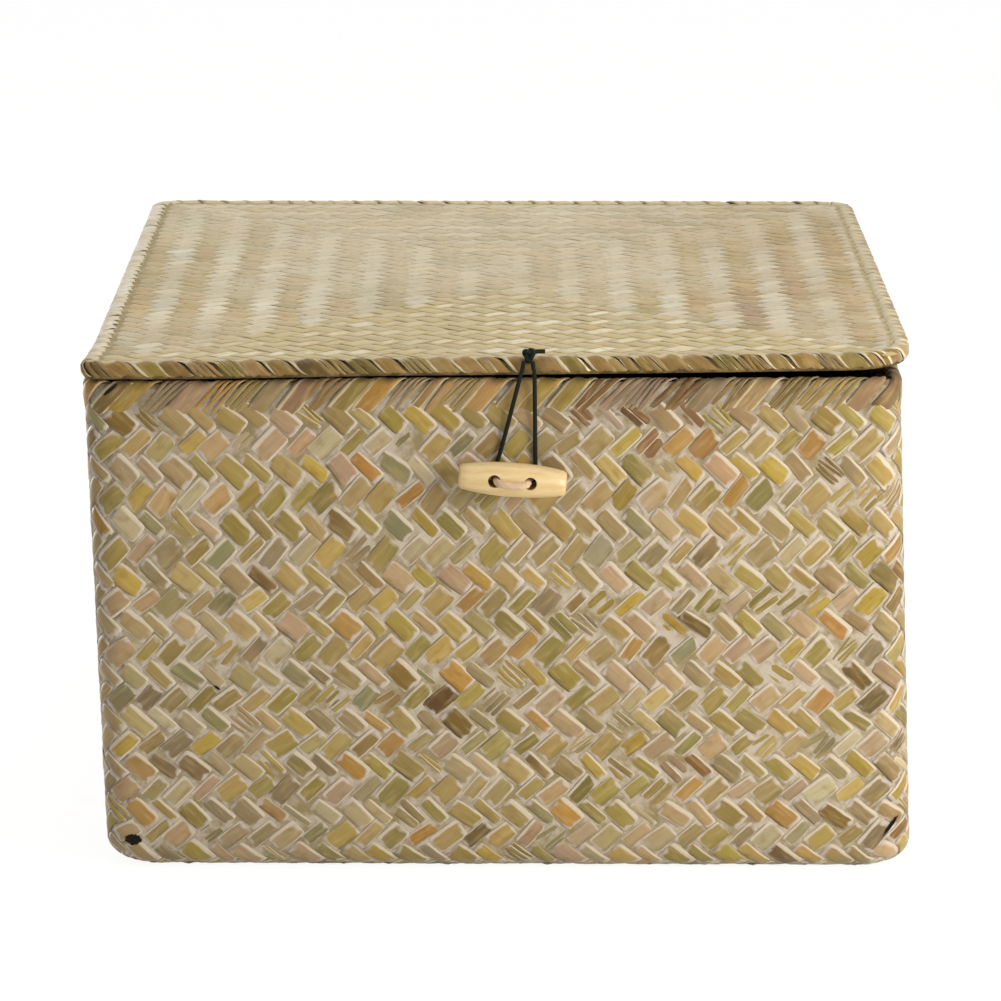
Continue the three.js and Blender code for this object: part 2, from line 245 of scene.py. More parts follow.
class Way:
    """The way round a rectangle with rounded corners, from the front left to the right and on."""

    def __init__(self, wide, deep, radii):
        spots = [(-wide / 2 + radii[3], -deep / 2, 0, -1)]
        for quarter, (radius, side_x, side_y) in enumerate(zip(radii, (1, 1, -1, -1), (-1, 1, 1, -1))):
            for step in range(corner_steps + 1):
                turn = math.radians(90 * quarter - 90 + 90 * step / corner_steps)
                head_x, head_y = math.cos(turn), math.sin(turn)
                spots.append((
                    side_x * (wide / 2 - radius) + head_x * radius,
                    side_y * (deep / 2 - radius) + head_y * radius,
                    head_x, head_y,
                ))
        self.spots = np.array(spots)
        self.marks = marks_along(self.spots[:, :2])
        self.long = self.marks[-1]

    def at(self, along, out):
        """Place beside the way: along it, and out from it."""
        along = np.mod(along, self.long)
        x, y, head_x, head_y = (np.interp(along, self.marks, column) for column in self.spots.T)
        return x + head_x * out, y + head_y * out


basket_way = Way(basket_wide, basket_deep, [corner_round] * 4)


def smooth_step(value, low, high):
    share = np.clip((value - low) / (high - low), 0, 1)
    return share * share * (3 - 2 * share)


def leaned(x, y, z):
    """The basket leans to the right at its foot, turns up at the foot's corners and swells at its rim."""
    share = np.clip(1 - z / basket_tall, 0, 1)
    near_x = np.clip(1 - (basket_wide / 2 - np.abs(x)) / corner_reach, 0, 1)
    near_y = np.clip(1 - (basket_deep / 2 - np.abs(y)) / corner_reach, 0, 1)
    lift = corner_lift * near_x * near_y * np.clip(1 - z / corner_tall, 0, 1)
    forward = np.clip(0.5 - y / basket_deep, 0, 1)
    swell = rim_swell * smooth_step(x, *swell_span) + right_swell * smooth_step(x, *right_span)
    lift = lift + swell * forward * (1 - share) ** 2
    return np.stack([x + lean_at_foot * share, y, np.maximum(z, floor_gap) + lift], -1)


def on_wall(along, up, out):
    """A place on the outer wall; below the foot's bend, up runs on round the bend and the floor."""
    turn = np.clip((foot_round - up) / foot_round, 0, math.pi / 2)
    under = np.maximum((1 - math.pi / 2) * foot_round - up, 0)
    outward = (foot_round + out) * np.cos(turn) - foot_round - under
    z = np.where(up < foot_round, foot_round + foot_lift - (foot_round + out) * np.sin(turn), up + foot_lift)
    x, y = basket_way.at(along, outward)
    return leaned(x, y, z)


def shown(name, mesh, material):
    mesh.materials.append(material)
    made = bpy.data.objects.new(name, mesh)
    bpy.context.collection.objects.link(made)
    return made


def rings_mesh(name, rings, material, looped=False):
    """A closed body from rings of points, capped at both ends or joined last to first."""
    count = len(rings[0])
    points = np.concatenate(rings)
    faces = []
    for ring in range(len(rings) if looped else len(rings) - 1):
        a, b = ring * count, (ring + 1) % len(rings) * count
        faces += [(a + p - 1, a + p % count, b + p % count, b + p - 1) for p in range(1, count + 1)]
    if not looped:
        faces += [tuple(range(count))[::-1], tuple(range(len(points) - count, len(points)))]
    mesh = bpy.data.meshes.new(name)
    mesh.from_pydata(points.tolist(), [], faces)
    mesh.shade_smooth()
    return shown(name, mesh, material)


def ring_of(way, outward, z, shape, share=1):
    """Points all round a way, out from it, then drawn in to a share of their distance from its middle."""
    along = np.linspace(0, way.long, 320, endpoint=False)
    x, y = way.at(along, outward)
    return shape(x * share, y * share, np.full_like(along, z))


def shell_rings(way, base, top, inset, thick, bend, shape):
    """Rings of an open-topped shell: out along the floor, up the wall, and back down inside."""
    inner_bend = max(bend - thick, 1 * MM)
    profile = [(-inset - bend, base, share) for share in (0.06, 0.4, 0.75)]
    for turn in np.radians(range(90, -1, -15)):
        profile.append((-inset - bend + bend * math.cos(turn), base + bend - bend * math.sin(turn), 1))
    for out, shares in ((-inset, (0.25, 0.5, 0.75, 1)), (-inset - thick, (1, 0.75, 0.5, 0.25, 0))):
        profile += [(out, base + bend + (top - base - bend) * share, 1) for share in shares]
    for turn in np.radians(range(15, 91, 15)):
        out = -inset - thick - inner_bend + inner_bend * math.cos(turn)
        profile.append((out, base + thick + inner_bend - inner_bend * math.sin(turn), 1))
    profile += [(-inset - bend, base + thick, share) for share in (0.75, 0.4, 0.06)]
    return [ring_of(way, out, z, shape, share) for out, z, share in profile]


def dusty(name, colour, other):
    finish = Finish(name, Roughness=0.85, Specular_IOR_Level=0.2)
    cloud = finish.noise(finish.where((160, 160, 160)), 4, 0.6)
    finish.bump(cloud, 0.5, 0.3 * MM)
    return finish.give(Base_Color=finish.mix(finish.step(cloud, 0.35, 0.65), colour, other))


def belongs(piece, body, node):
    """The piece moves with the body and stands for the node, which is hidden."""
    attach(piece, body)
    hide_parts(node)


outer_ground = rings_mesh(
    "outer_ground",
    shell_rings(basket_way, 0.5 * MM, basket_tall - 3 * MM, 0, layer_thick, foot_round, leaned),
    dusty("leaf_underside_outer", "b8ac9c", "8f7f5c"),
)
belongs(outer_ground, "basket", "outer_basket")

# Outer layer of the basket: plaited walls
# Two sets of dry leaf strips cross on the slant, over two and under two, so that the places where a
# strip lies on top stand in level rows, leaning right in one row and left in the next. Each such
# place is a small cushion of its own.

row_pitch = 9.2 * MM
strips_round = 136
packed_rows = (-28.5, -12, 4.5, 21.3, 38.9, 55.7, 73, 92, 109.4, 129.2, 149.8, 168.3, 186.8)
wall_levels = 42
uneven_strips = 1.7 * MM
slant = math.atan2(row_pitch, basket_way.long / strips_round)
strip_pitch = basket_way.long / strips_round * math.sin(slant)
rng = np.random.default_rng(11)


def uneven_edges(numbers, pitch, uneven):
    """Edges of side-by-side strips that are broad and narrow in turn."""
    shift = np.where(numbers % 2 == 0, -uneven / 2, uneven / 2) * rng.uniform(0.2, 1.2, len(numbers))
    return numbers * pitch + shift + rng.uniform(-1, 1, len(numbers)) * uneven * 0.4


def plaited(edges, strips, cells, over, slant):
    """The places where a strip lies on top, as start and end in the flat, and width."""
    found = []
    for family in (0, 1):
        own, crossing = edges[family], edges[1 - family]
        for strip in strips:
            run = []
            for cell in [*cells(family, strip), None]:
                if cell is not None and over(family, strip, cell):
                    run.append(cell)
                elif run:
                    middle = (own(strip) + own(strip + 1)) / 2
                    wide = own(strip + 1) - own(strip)
                    found.append((family, strip, middle, wide, crossing(min(run)), crossing(max(run) + 1)))
                    run = []
    found = np.array(found, float)
    rising = found[:, 0] == 0
    ends = []
    for place in (4, 5):
        first = np.where(rising, found[:, 2], found[:, place])
        second = np.where(rising, found[:, place], found[:, 2])
        across = (first + second) / (2 * math.sin(slant))
        up = (second - first) / (2 * math.cos(slant))
        ends.append(np.stack([across, up], -1))
    return {
        "family": found[:, 0].astype(int),
        "strip": found[:, 1].astype(int),
        "wide": found[:, 3],
        "start": ends[0],
        "end": ends[1],
    }


def some_of(floats, chosen):
    return {key: value[chosen] for key, value in floats.items()}


def middles(floats):
    return (floats["start"] + floats["end"]) / 2


def unit(vectors):
    return vectors / np.linalg.norm(vectors, axis=-1, keepdims=True)


LEAF_TONES = (
    ("81753c", 0.17), ("968640", 0.14), ("ac913a", 0.1), ("a87634", 0.06), ("9d8556", 0.15),
    ("ad9176", 0.12), ("87785c", 0.11), ("5b4022", 0.09), ("7f7d5a", 0.08), ("b8ab8a", 0.04),
)


def tones_of(floats, palettes=(LEAF_TONES, LEAF_TONES), own_share=0.55):
    """A colour for each float: partly its strip's, partly its own."""
    count = len(floats["wide"])
    tones = np.zeros((count, 3))
    for family, palette in enumerate(palettes):
        here = floats["family"] == family
        colours = np.array([srgb(code) for code, _ in palette])
        chances = np.array([share for _, share in palette])
        chances = chances / chances.sum()
        numbers, which = np.unique(floats["strip"][here], return_inverse=True)
        of_strip = colours[rng.choice(len(colours), len(numbers), p=chances)][which]
        of_float = colours[rng.choice(len(colours), here.sum(), p=chances)]
        tones[here] = of_strip * (1 - own_share) + of_float * own_share
    return tones * rng.uniform(0.88, 1.12, (count, 1))


def stained(tones, places, count, reach, share, colours):
    """Broad stained or faded spots, each over several floats."""
    low, high = places.min(axis=0), places.max(axis=0)
    for _ in range(count):
        away = (places - rng.uniform(low, high)) / (np.array(reach) * MM * rng.uniform(0.6, 1.4, 2))
        weight = share * np.exp(-(away ** 2).sum(axis=-1))[:, None]
        tones = tones * (1 - weight) + np.array(srgb(colours[rng.integers(len(colours))])) * weight
    return tones


def split_some(floats, tones, share, thick=1):
    """Some floats are worn into two or more thin fibres that lie side by side."""
    count = len(floats["wide"])
    parts = np.where(rng.random(count) < share, rng.integers(2, 5, count), 1)
    which = np.repeat(np.arange(count), parts)
    number = np.concatenate([np.arange(n) for n in parts])
    total = parts[which]
    wide = floats["wide"][which] / total
    shift = (number - (total - 1) / 2) * wide
    thick = np.broadcast_to(thick, count)[which]
    heading = unit(floats["end"] - floats["start"])
    side = np.stack([-heading[:, 1], heading[:, 0]], -1)[which]
    thin = total > 1
    fan = np.where(thin, rng.uniform(-0.5, 0.5, len(which)) * MM, 0)
    shade = np.where(thin, rng.uniform(0.7, 1.2, len(which)), 1)
    return {
        "wide": wide * thick * np.where(thin, rng.uniform(0.8, 1.05, len(which)), 1),
        "start": floats["start"][which] + side * (shift + fan)[:, None],
        "end": floats["end"][which] + side * (shift - fan)[:, None],
        "sink": np.where(thin, rng.uniform(0, 0.3, len(which)) * MM, 0),
    }, tones[which] * shade[:, None]


def cushion(long_steps, cross_steps):
    """One float as a grid of shares along and across, with its faces, closed underneath."""
    t, w = np.meshgrid(np.linspace(-1, 1, long_steps + 1), np.linspace(-1, 1, cross_steps + 1), indexing="ij")
    w = np.sign(w) * np.abs(w) ** 0.4
    row = cross_steps + 1
    faces = [
        (k * row + m, k * row + m + row, k * row + m + row + 1, k * row + m + 1)
        for k in range(long_steps) for m in range(cross_steps)
    ]
    end = long_steps * row
    faces.append((*range(row), row + cross_steps, row))
    faces += [
        (k * row, k * row + cross_steps, (k + 1) * row + cross_steps, (k + 1) * row)
        for k in range(1, long_steps - 1)
    ]
    faces.append((end - row, end - row + cross_steps, *range(end + cross_steps, end - 1, -1)))
    return t.ravel(), w.ravel(), faces


def repeated_mesh(name, points, faces, upper, copies, layers, tones, material):
    """A mesh of many copies of one set of faces, the upper ones smooth, with UV layers and tones."""
    per_copy = len(points) // copies
    corners = np.concatenate([np.array(face) for face in faces])
    sizes = np.tile([len(face) for face in faces], copies)
    all_corners = (corners[None] + np.arange(copies)[:, None] * per_copy).ravel()
    mesh = bpy.data.meshes.new(name)
    mesh.vertices.add(len(points))
    mesh.vertices.foreach_set("co", points.astype(np.float32).ravel())
    mesh.loops.add(len(all_corners))
    mesh.loops.foreach_set("vertex_index", all_corners.astype(np.int32))
    mesh.polygons.add(len(sizes))
    mesh.polygons.foreach_set("loop_start", np.concatenate([[0], np.cumsum(sizes)[:-1]]).astype(np.int32))
    mesh.update(calc_edges=True)
    mesh.polygons.foreach_set("use_smooth", np.tile(np.arange(len(faces)) < upper, copies))
    for layer, values in layers.items():
        made = mesh.uv_layers.new(name=layer)
        made.data.foreach_set("uv", values[all_corners].astype(np.float32).ravel())
    colour = mesh.color_attributes.new(name="tone", type="FLOAT_COLOR", domain="POINT")
    colour.data.foreach_set("color", tones.astype(np.float32).ravel())
    return shown(name, mesh, material)


def lay(
    name, floats, tones, onto, material,
    high=0.3, deep=0.12, grid=(8, 4), mirrored=False, turn=0.06, stray=0.3, crisp=5, spread=1,
):
    """Lays floats on a surface: risen in the middle, ends tucked under their neighbours."""
    t, w, faces = cushion(*grid)
    count = len(floats["wide"])
    middle = middles(floats) + rng.normal(0, stray * MM, (count, 2))
    reach = floats["end"] - floats["start"]
    long = np.linalg.norm(reach, axis=1)
    angle = np.arctan2(reach[:, 1], reach[:, 0]) + rng.normal(0, turn, count)
    heading = np.stack([np.cos(angle), np.sin(angle)], -1)
    side = np.stack([-heading[:, 1], heading[:, 0]], -1)
    half_long = long / 2 * rng.uniform(0.95, 1.08, count)
    half_wide = floats["wide"] / 2 * rng.uniform(0.92, 1.05, count) * spread
    narrowed = 1 - 0.07 * np.abs(t) ** 5
    plan = (
        middle[:, None]
        + heading[:, None] * (t * half_long[:, None])[..., None]
        + side[:, None] * (w * narrowed * half_wide[:, None])[..., None]
    )
    crown = rng.uniform(0.8, 1.2, count)[:, None]
    tilt = rng.normal(0, 0.12, count)[:, None]
    rise = high * MM * crown * (1 - np.abs(t) ** 3) * (1 - 1.1 * np.abs(w) ** crisp + tilt * w)
    rise = rise - deep * MM * np.abs(t) ** 4 - floats.get("sink", np.zeros(count))[:, None]
    rise = rise + rng.normal(0, 0.02 * MM, rise.shape)
    points = onto(plan[..., 0].ravel(), plan[..., 1].ravel(), rise.ravel())
    start = rng.uniform(0, 400, (count, 2))
    lengthwise, crosswise = t * half_long[:, None] / MM, w * half_wide[:, None] / MM
    grain = np.stack([lengthwise + start[:, :1], crosswise + start[:, 1:]], -1)
    span = np.broadcast_to(np.stack([t, w], -1) / 2 + 0.5, (count, len(t), 2))
    layers = {"grain": grain.reshape(-1, 2), "span": span.reshape(-1, 2)}
    shades = np.repeat(np.concatenate([tones, rng.random((count, 1))], -1), len(t), axis=0)
    drawn = [face[::-1] for face in faces] if mirrored else faces
    return repeated_mesh(name, points, drawn, grid[0] * grid[1], count, layers, shades, material)


def leaf(
    name, edge, wash, edge_share=0.85, wash_share=0.9, roughness=0.5, streak=0.26,
    bare=(0.7, 0.88), blotch="a58a5c", top_highlight=None, rounded=False, shade=0, ends=(0.8, 0.98),
):
    """Dry leaf strip: fine fibres along it, pale edges that are partly rubbed and partly painted
    highlight, broad on one side and thin on the other, a chalky wash at its tucked ends and painted
    shade along its lower side. The pairs say where the pale edges and ends begin and are full; shade is
    the share of the painted shade, and if given, one more pale band over the far end is painted highlight."""
    finish = Finish(name, Specular_IOR_Level=0.18, Sheen_Weight=0.12, Sheen_Roughness=0.5)
    tone = finish.node("Attribute", {"attribute_name": "tone"}, None, "Color")
    chance = finish.node("Attribute", {"attribute_name": "tone"}, None, "Alpha")
    fine = finish.noise(finish.where((0.12, 2.4, 1), "grain"), 4, 0.6)
    broad = finish.noise(finish.where((0.1, 0.5, 1), "grain"), 2)
    span = finish.node("UVMap", {"uv_map": "span"})
    parts = finish.node("SeparateXYZ", None, {0: span})
    along = ((parts - 0.5) * 2).size()
    # Shifted off the middle so the pale edge is broad on one side and thin on the other: painted highlight
    # where light from above catches the upper edge.
    signed = Value(finish, parts.socket.node.outputs["Y"]) * 2 - 0.88
    across = signed.size()
    patch = finish.noise(finish.where((0.22, 0.22, 1), "grain"), 1)
    ragged = (fine - 0.5) * 0.1 + (patch - 0.5) * 0.34
    across_square, along_square = across * across, along * along
    if rounded:
        away = across_square * across_square + along_square * along_square + ragged * 1.4
    else:
        away = across + along_square * along_square * 0.16 + ragged * 0.8
    pale_mask = finish.step(away + (chance - 0.5) * 0.3, *bare)
    edge_mask = pale_mask * (0.3 + finish.step(chance, 0.05, 0.3) * 0.7)
    end_mask = finish.step(along + (patch - 0.5) * 0.8, *ends)
    dark = finish.mix(finish.step(fine, 0.35, 0.75) * streak, tone, (0.1, 0.07, 0.03))
    # Painted shade: the lower side of each float darkens towards 4f3c1c by the share shade.
    lower_side_shade = finish.step(across + (patch - 0.5) * 0.8, 0.25, 0.95) * (1 - finish.step(signed, -0.1, 0.3))
    shaded = finish.mix(lower_side_shade * shade, dark, "4f3c1c")
    deep = finish.mix(finish.step(patch, 0.5, 0.75) * 0.35, shaded, "7d6223")
    warm = finish.mix(finish.step(broad, 0.45, 0.75) * 0.25, deep, "cbb586")
    cloud = finish.noise(finish.where((26, 26, 26)), 2)
    warm = finish.mix(finish.step(cloud, 0.46, 0.62) * 0.35, warm, blotch)
    edged = finish.mix(edge_mask * edge_share, warm, edge)
    washed = finish.mix(end_mask * wash_share, edged, wash)
    # Painted highlight: one more pale band over the far end of each float, which on the lid's roll is its top
    # face.
    if top_highlight:
        washed = finish.mix(finish.step(parts + ragged * 0.4, top_highlight[0], top_highlight[1]) * top_highlight[3], washed, top_highlight[2])
    finish.bump(fine, 0.35, 0.12 * MM)
    return finish.give(Base_Color=washed, Roughness=roughness + (fine - 0.5) * 0.25)


def looped_edges(count, pitch, uneven):
    """Strip edges at any whole number, going on past the last by the way round."""
    edges = uneven_edges(np.arange(count), pitch, uneven)
    return lambda number: edges[number % count] + pitch * count * (number // count)


def wall_cells(levels):
    """The strips that each strip of a wall crosses on its way up through so many levels."""
    return lambda family, strip: [strip + level * (1 - 2 * family) for level in range(levels)]


def wall_over(family, strip, cell):
    level = cell - strip if family == 0 else strip - cell
    return (level % 4 in (2, 3)) == (family == 0)


wall_edges = [looped_edges(strips_round, strip_pitch, uneven_strips) for _ in range(2)]
wall_floats = plaited(wall_edges, range(strips_round), wall_cells(wall_levels), wall_over, slant)
wall_places = middles(wall_floats)
wall_tones = stained(
    tones_of(wall_floats, own_share=0.75), wall_places, 330, (9, 9), 0.4,
    ("5f4d26", "c9bb9c", "b08e5c", "7f7a48", "b09440"),
)
wall_middle = np.mod(wall_places[:, 0], basket_way.long)
wall_turns = basket_way.marks[corner_steps // 2::corner_steps + 1]
# The walls' floats get painted shade on their lower sides (shade=0.45); their pale edges are partly painted
# highlight.
outer_leaf = leaf("plaited_leaf_outer", "c9bca8", "bfb4aa", 0.9, 0.8, shade=0.45, ends=(0.66, 0.88))


def wall_height(up):
    """Rows lie closer towards the foot; packed_rows are the middles of the falling ones."""
    rows = (np.arange(-1, len(packed_rows) - 1) * 2 + 0.5) * row_pitch - row_pitch / 4
    return np.interp(up, rows, np.array(packed_rows) * MM)


def onto_outer_wall(along, up, out):
    return on_wall(along, wall_height(up), out)


FRAYED_TONES = ("5d4026", "8f7762", "79573a", "a58e7c", "6a4c2c")
frayed_at = 52 * MM, 172 * MM
frayed_reach = 21 * MM, 15 * MM


def picked(codes, count):
    """One of the written colours, at random, for each float."""
    return np.array([srgb(code) for code in codes])[rng.integers(0, len(codes), count)]


def frayed(along, up):
    """Where the front wall is frayed, right of the toggle and just under the rim."""
    across = along - (basket_wide / 2 - corner_round)
    return ((across - frayed_at[0]) / frayed_reach[0]) ** 2 + ((up - frayed_at[1]) / frayed_reach[1]) ** 2 < 1


for number, side_name in enumerate(("front", "right", "back", "left")):
    part = np.searchsorted(wall_turns, wall_middle) % 4 == number
    floats, tones = some_of(wall_floats, part), wall_tones[part]
    middle = middles(floats)
    worn = frayed(middle[:, 0], wall_height(middle[:, 1])) & (rng.random(len(middle)) < 0.75)
    tones = np.where(worn[:, None], picked(FRAYED_TONES, len(middle)), tones)
    floats, tones = split_some(floats, tones, np.where(worn, 1, 0.08), np.where(worn, 1.5, 1))
    piece = lay(f"outer_plait_{side_name}", floats, tones, onto_outer_wall, outer_leaf, spread=1.03)
    belongs(piece, "basket", "outer_basket")

# Small ragged gaps where strips have parted, drawn as near-black patches standing out over the
# strips: the dark of the hollow inside is painted shade. For each: place along the wall and up it,
# length, width, slant and how far it stands out to show between the strips round it.
hollow_shade = dusty("painted_shade_in_slits", "0e0a06", "1d160e")
slit_back = 0.3 * MM
slit_sides = 28
for number, (along, up, long, wide, lean, proud) in enumerate((
    (-0.6, 9.2, 6.8, 4.2, 28, 0.42), (278.3, 15.2, 9, 1.5, 50, 0.42), (-0.6, 179.4, 6.4, 1.15, 40, 1.02),
    (33, 68.5, 2.6, 0.9, -38, 0.42),
)):
    turns = np.linspace(0, 2 * math.pi, slit_sides, endpoint=False)
    ragged = rng.uniform(0.82, 1.12, slit_sides) * MM / 2
    lean = math.radians(lean)
    far = np.cos(turns) * long * ragged
    near = np.sin(turns) * wide * ragged
    place = (
        along * MM + far * math.cos(lean) - near * math.sin(lean),
        up * MM + far * math.sin(lean) + near * math.cos(lean),
    )
    rings = [on_wall(*place, out) for out in (-slit_back, proud * MM)]
    slit = rings_mesh(f"weave_slit_{number}", rings, hollow_shade)
    slit.data.shade_flat()
    belongs(slit, "basket", "outer_basket")

# Outer layer of the basket: plaited floor
# The same dry strips run on from the walls under the box, where they carry it. They cross there in
# the same twill and are pressed flat.


def flat_edges(reach, pitch, uneven):
    """Strip edges on a flat mat, counted from its middle."""
    edges = uneven_edges(np.arange(-reach, reach + 2), pitch, uneven)
    return lambda number: edges[number + reach]


def plaited_mat(wide, deep, pitch, uneven, mitred=False):
    """Floats of a flat mat; a mitred one turns its rows to run beside the nearest edge."""
    step = pitch / math.sqrt(2)
    reach = int((wide + deep) / 2 / pitch / math.sqrt(2)) + 3

    def over(family, strip, cell):
        i, j = (strip, cell) if family == 0 else (cell, strip)
        from_side = wide / 2 - abs(i + j + 1) * step
        from_end = deep / 2 - abs(j - i) * step
        level = i + j if mitred and from_side < from_end else j - i
        return min(from_side, from_end) > 0 and (level % 4 in (0, 1)) == (family == 0)

    edges = [flat_edges(reach, pitch, uneven) for _ in range(2)]
    return plaited(edges, range(-reach, reach), lambda *_: range(-reach, reach + 1), over, math.pi / 4)


def pressed_mat(name, wide, long, pitch, uneven, shape, z, facing, material, high=0.4, deep=0.15):
    """A plain mat at one height that faces up (1) or down (-1), with coarser floats."""
    floats = plaited_mat(wide, long, pitch, uneven)

    def onto(x, y, out):
        return shape(x, y, z + facing * out)

    how = {"high": high, "deep": deep, "grid": (4, 2), "mirrored": facing < 0}
    return lay(name, floats, tones_of(floats), onto, material, **how)


floor_inset = 2 * (foot_round - 2 * MM)
outer_floor = pressed_mat(
    "outer_floor_plait", basket_wide - floor_inset, basket_deep - floor_inset, strip_pitch, uneven_strips,
    leaned, 0.75 * MM, -1, outer_leaf, high=0.5, deep=0.2,
)
belongs(outer_floor, "basket", "outer_basket")

# Inner layer of the basket
# A second, plainer basket of the same strips stands inside the first and lines its floor and walls.
# Its strips end at the rim, where they are bent over together with the outer ones.

inner_inset = 2.7 * MM
inner_thick = 1.4 * MM
inner_face = inner_inset + inner_thick
inner_gap = 0.1 * MM
inner_floor_inset = 2 * inner_face + 6 * MM
inner_leaf = leaf("plaited_leaf_inner", "dccaa6", "b9a890", 0.6, 0.5)

inner_ground = rings_mesh(
    "inner_ground",
    shell_rings(
        basket_way, inner_inset, basket_tall - 5 * MM, inner_inset, inner_thick,
        foot_round - inner_inset, leaned,
    ),
    dusty("leaf_underside_inner", "b3a283", "8a7757"),
)
belongs(inner_ground, "basket", "inner_basket")


def onto_inner_wall(along, up, out):
    x, y = basket_way.at(along, -inner_face - inner_gap - out)
    return leaned(x, y, up + foot_round)


inner_levels = int((basket_tall - foot_round - 4 * MM) / (row_pitch / 2)) - 1
inner_floats = plaited(wall_edges, range(strips_round), wall_cells(inner_levels), wall_over, slant)
inner_walls = lay(
    "inner_plait_walls", inner_floats, tones_of(inner_floats), onto_inner_wall, inner_leaf,
    high=0.35, deep=0.15, grid=(4, 2), mirrored=True,
)
belongs(inner_walls, "basket", "inner_basket")

inner_floor = pressed_mat(
    "inner_floor_plait", basket_wide - inner_floor_inset, basket_deep - inner_floor_inset, strip_pitch,
    uneven_strips, leaned, inner_face + inner_gap, 1, inner_leaf,
)
belongs(inner_floor, "basket", "inner_basket")

# Rim: cane and fold
# A cane lies on the upper edge of both layers. The strip ends are bent over it on the slant and
# tucked in on either side; the bent strips are frayed and show as the row just below the lid.

cane_finish = Finish("split_cane", Roughness=0.5)
cane_grain = cane_finish.noise(cane_finish.where((60, 60, 900)), 3)
cane_finish.bump(cane_grain, 0.3, 0.1 * MM)
cane_material = cane_finish.give(Base_Color=cane_finish.mix(cane_grain, "cdb27c", "a98a55"))
bpy.data.objects["rim_cane"].material_slots[0].material = cane_material


class Section:
    """A drawn section, as length along it and distance out from it; x is outward, y is up."""

    def __init__(self, points):
        self.marks = marks_along(points)
        self.long = self.marks[-1]
        heading = unit(np.gradient(points, self.marks, axis=0))
        self.columns = (points[:, 0], points[:, 1], heading[:, 1], -heading[:, 0])

    def at(self, length, out):
        x, y, away_x, away_y = (np.interp(length, self.marks, column) for column in self.columns)
        return x + away_x * out, y + away_y * out

    def carried(self, way, shape):
        """This section as a surface, all along a way."""
        def onto(along, length, out):
            outward, z = self.at(length, out)
            return shape(*way.at(along, outward), z)
        return onto


rim_section = Section(np.array([
    (-0.3, 169.6), (0.15, 171.4), (0.3, 174.5), (0.4, 178), (0.3, 180.6), (-0.2, 181.9), (-1.2, 182.5),
    (-3.6, 182.5), (-4.5, 181.9), (-4.9, 180.6), (-4.9, 178), (-4.6, 176.4), (-4.4, 175.8),
]) * MM)
strip_lean = math.radians(47)
rim_level = 176 * MM
winding_jitter = 0.12
rim_warmth = (1.05, 0.95, 0.92)


def wound(way, count, reach, lean, wide):
    """Bands side by side round a way, each crossing a section of the given reach on the slant."""
    pitch = way.long / count
    begin = (np.arange(count) + rng.uniform(-winding_jitter, winding_jitter, count)) * pitch
    start = np.stack([begin, np.zeros(count)], -1)
    end = start + np.array([reach / math.tan(lean), reach])
    return {
        "family": np.zeros(count, int),
        "strip": np.arange(count),
        "wide": wide * rng.uniform(0.85, 1.12, count),
        "start": start,
        "end": end,
    }


rim_floats = wound(basket_way, strips_round, rim_section.long, strip_lean, strip_pitch * 1.05)
rim_tones = tones_of(rim_floats, (LEAF_TONES,)) * rim_warmth
rim_worn = frayed(middles(rim_floats)[:, 0], rim_level)
rim_tones = np.where(rim_worn[:, None], picked(FRAYED_TONES, strips_round), rim_tones)
rim_floats, rim_tones = split_some(rim_floats, rim_tones, np.where(rim_worn, 1, 0.5))
rim_leaf = leaf("plaited_leaf_rim", "d0c09c", "b3a28f", 0.75, 0.3, streak=0.5, bare=(0.72, 0.9))
rim_strips = lay(
    "rim_strips", rim_floats, rim_tones, rim_section.carried(basket_way, leaned), rim_leaf,
    high=0.5, deep=0.3, grid=(16, 3), stray=0.1,
)
belongs(rim_strips, "basket", "rim_fold")


def core_round(name, way, outline, shape, material):
    """A body that runs all round a way, from its outline as outward and up."""
    return rings_mesh(name, [ring_of(way, outward, z, shape) for outward, z in outline], material, looped=True)


rim_outline = np.array([
    (-0.1, 174), (-0.1, 180.2), (-0.9, 181.5), (-3.7, 181.5), (-4.4, 180.2), (-4.5, 176.8), (-4.1, 176.8),
    (-4.0, 181), (-0.8, 181), (-0.7, 174),
]) * MM
rim_ground = core_round(
    "rim_ground", basket_way, rim_outline, leaned, dusty("leaf_underside_rim", "a08f74", "6b5839")
)
belongs(rim_ground, "basket", "rim_fold")

# Hinge stitches
# Three pairs of thread rings at the back sew the lid's edge roll to the rim. Each is two plies of
# cotton twisted together.


def smooth_route(points, steps, closed=False):
    """Points evenly along a smooth curve through the given ones."""
    points = np.array(points, float)
    if closed:
        padded = np.concatenate([points[-1:], points, points[:2]])
    else:
        padded = np.concatenate([2 * points[:1] - points[1:2], points, 2 * points[-1:] - points[-2:-1]])
    curve = []
    for k in range(1, len(padded) - 2):
        before, here, there, after = padded[k - 1:k + 3]
        for share in np.linspace(0, 1, 12, endpoint=False):
            curve.append(0.5 * (
                2 * here + (there - before) * share
                + (2 * before - 5 * here + 4 * there - after) * share ** 2
                + (3 * here - before - 3 * there + after) * share ** 3
            ))
    curve.append(padded[-2])
    curve = np.array(curve)
    marks = marks_along(curve)
    even = np.linspace(0, marks[-1], steps, endpoint=not closed)
    return np.stack([np.interp(even, marks, column) for column in curve.T], -1), marks[-1]


